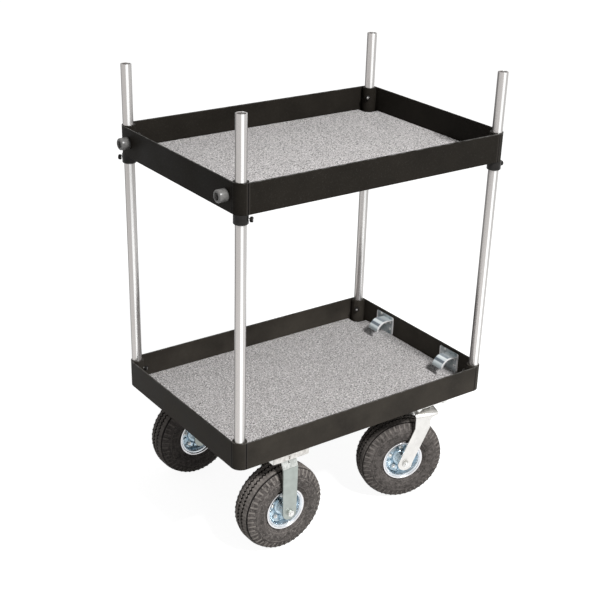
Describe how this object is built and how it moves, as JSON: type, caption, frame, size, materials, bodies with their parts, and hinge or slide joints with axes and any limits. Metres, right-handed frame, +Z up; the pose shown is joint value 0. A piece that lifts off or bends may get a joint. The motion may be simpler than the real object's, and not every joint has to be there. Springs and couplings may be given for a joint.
{
  "type": "camera cart",
  "caption": "Wheeled camera cart with carpeted metal trays on tube posts; the upper tray slides on the posts, and air-tyred fixed and swivel casters carry the lower one.",
  "frame": {"origin": "on the floor under the middle of the two trays", "axes": "+X along the cart from the fixed casters and bumpers to the swivel casters, +Y across it from the near side to the far side, +Z up"},
  "size_m": [0.8863, 0.6185, 1.25],
  "materials": {
    "black_paint": "black powder coat",
    "grey_carpet": "speckled loop carpet",
    "aluminium": "satin, drawn along the tube",
    "black_steel": "black oxide",
    "tyre": "matt dark grey rubber",
    "bumper_rubber": "smooth grey rubber",
    "zinc": "bright zinc plating",
    "bright_steel": "plated"
  },
  "bodies": {
    "base": {"lower_tray": "black_paint", "lower_carpet": "grey_carpet", "post_front_left": "aluminium", "post_rear_left": "aluminium", "post_front_right": "aluminium", "post_rear_right": "aluminium", "bracket_front": "zinc", "fixed_fork_front": "zinc", "axle_fixed_front": "bright_steel", "swivel_plate_front": "zinc", "swivel_bearing_front": "bright_steel", "swivel_pin_front": "bright_steel", "bracket_rear": "zinc", "fixed_fork_rear": "zinc", "axle_fixed_rear": "bright_steel", "swivel_plate_rear": "zinc", "swivel_bearing_rear": "bright_steel", "swivel_pin_rear": "bright_steel"},
    "upper_shelf": {"upper_tray": "black_paint", "upper_carpet": "grey_carpet", "collar_front_left": "black_steel", "collar_rear_left": "black_steel", "collar_front_right": "black_steel", "collar_rear_right": "black_steel", "bumper_front": "bumper_rubber", "bumper_screw_front": "bright_steel", "bumper_rear": "bumper_rubber", "bumper_screw_rear": "bright_steel"},
    "lower_socket_screw_front_left": {"lower_socket_screw_front_left": "black_steel"},
    "upper_socket_screw_front_left": {"upper_socket_screw_front_left": "black_steel"},
    "collar_screw_front_left": {"collar_screw_front_left": "black_steel"},
    "lower_socket_screw_rear_left": {"lower_socket_screw_rear_left": "black_steel"},
    "upper_socket_screw_rear_left": {"upper_socket_screw_rear_left": "black_steel"},
    "collar_screw_rear_left": {"collar_screw_rear_left": "black_steel"},
    "lower_socket_screw_front_right": {"lower_socket_screw_front_right": "black_steel"},
    "upper_socket_screw_front_right": {"upper_socket_screw_front_right": "black_steel"},
    "collar_screw_front_right": {"collar_screw_front_right": "black_steel"},
    "lower_socket_screw_rear_right": {"lower_socket_screw_rear_right": "black_steel"},
    "upper_socket_screw_rear_right": {"upper_socket_screw_rear_right": "black_steel"},
    "collar_screw_rear_right": {"collar_screw_rear_right": "black_steel"},
    "swivel_front": {"swivel_fork_front": "zinc", "axle_swivel_front": "bright_steel"},
    "wheel_fixed_front": {"tyre_fixed_front": "tyre", "rim_fixed_front": "zinc", "hub_fixed_front": "zinc"},
    "wheel_swivel_front": {"tyre_swivel_front": "tyre", "rim_swivel_front": "zinc", "hub_swivel_front": "zinc"},
    "swivel_rear": {"swivel_fork_rear": "zinc", "axle_swivel_rear": "bright_steel"},
    "wheel_fixed_rear": {"tyre_fixed_rear": "tyre", "rim_fixed_rear": "zinc", "hub_fixed_rear": "zinc"},
    "wheel_swivel_rear": {"tyre_swivel_rear": "tyre", "rim_swivel_rear": "zinc", "hub_swivel_rear": "zinc"}
  },
  "joints": [
    {"name": "upper_shelf_height", "type": "slide", "parent": "base", "child": "upper_shelf", "axis": [0, 0, 1], "range_m": [-0.58, 0.155]},
    {"name": "lower_socket_screw_turn_front_left", "type": "hinge", "parent": "base", "child": "lower_socket_screw_front_left", "pos_m": [-0.405, -0.274, 0.37], "axis": [0.7071, 0.7071, 0], "continuous": true},
    {"name": "upper_socket_screw_turn_front_left", "type": "hinge", "parent": "upper_shelf", "child": "upper_socket_screw_front_left", "pos_m": [-0.405, -0.274, 1.064], "axis": [0.7071, 0.7071, 0], "continuous": true},
    {"name": "collar_screw_turn_front_left", "type": "hinge", "parent": "upper_shelf", "child": "collar_screw_front_left", "pos_m": [-0.405, -0.274, 0.9992], "axis": [0.7071, -0.7071, 0], "continuous": true},
    {"name": "lower_socket_screw_turn_rear_left", "type": "hinge", "parent": "base", "child": "lower_socket_screw_rear_left", "pos_m": [-0.405, 0.274, 0.37], "axis": [0.7071, -0.7071, 0], "continuous": true},
    {"name": "upper_socket_screw_turn_rear_left", "type": "hinge", "parent": "upper_shelf", "child": "upper_socket_screw_rear_left", "pos_m": [-0.405, 0.274, 1.064], "axis": [0.7071, -0.7071, 0], "continuous": true},
    {"name": "collar_screw_turn_rear_left", "type": "hinge", "parent": "upper_shelf", "child": "collar_screw_rear_left", "pos_m": [-0.405, 0.274, 0.9992], "axis": [-0.7071, 0.7071, 0], "continuous": true},
    {"name": "lower_socket_screw_turn_front_right", "type": "hinge", "parent": "base", "child": "lower_socket_screw_front_right", "pos_m": [0.405, -0.274, 0.37], "axis": [-0.7071, 0.7071, 0], "continuous": true},
    {"name": "upper_socket_screw_turn_front_right", "type": "hinge", "parent": "upper_shelf", "child": "upper_socket_screw_front_right", "pos_m": [0.405, -0.274, 1.064], "axis": [-0.7071, 0.7071, 0], "continuous": true},
    {"name": "collar_screw_turn_front_right", "type": "hinge", "parent": "upper_shelf", "child": "collar_screw_front_right", "pos_m": [0.405, -0.274, 0.9992], "axis": [1, 0, 0], "continuous": true},
    {"name": "lower_socket_screw_turn_rear_right", "type": "hinge", "parent": "base", "child": "lower_socket_screw_rear_right", "pos_m": [0.405, 0.274, 0.37], "axis": [-0.7071, -0.7071, 0], "continuous": true},
    {"name": "upper_socket_screw_turn_rear_right", "type": "hinge", "parent": "upper_shelf", "child": "upper_socket_screw_rear_right", "pos_m": [0.405, 0.274, 1.064], "axis": [-0.7071, -0.7071, 0], "continuous": true},
    {"name": "collar_screw_turn_rear_right", "type": "hinge", "parent": "upper_shelf", "child": "collar_screw_rear_right", "pos_m": [0.405, 0.274, 0.9992], "axis": [0, 1, 0], "continuous": true},
    {"name": "wheel_roll_fixed_front", "type": "hinge", "parent": "base", "child": "wheel_fixed_front", "pos_m": [-0.25, -0.231, 0.127], "axis": [0, 1, 0], "continuous": true},
    {"name": "caster_swivel_front", "type": "hinge", "parent": "base", "child": "swivel_front", "pos_m": [0.25, -0.231, 0.29], "axis": [0, 0, 1], "continuous": true},
    {"name": "wheel_roll_swivel_front", "type": "hinge", "parent": "swivel_front", "child": "wheel_swivel_front", "pos_m": [0.19294, -0.21246, 0.127], "axis": [0.309, 0.9511, 0], "continuous": true},
    {"name": "wheel_roll_fixed_rear", "type": "hinge", "parent": "base", "child": "wheel_fixed_rear", "pos_m": [-0.25, 0.231, 0.127], "axis": [0, 1, 0], "continuous": true},
    {"name": "caster_swivel_rear", "type": "hinge", "parent": "base", "child": "swivel_rear", "pos_m": [0.25, 0.231, 0.29], "axis": [0, 0, 1], "continuous": true},
    {"name": "wheel_roll_swivel_rear", "type": "hinge", "parent": "swivel_rear", "child": "wheel_swivel_rear", "pos_m": [0.19294, 0.24954, 0.127], "axis": [0.309, 0.9511, 0], "continuous": true}
  ]
}
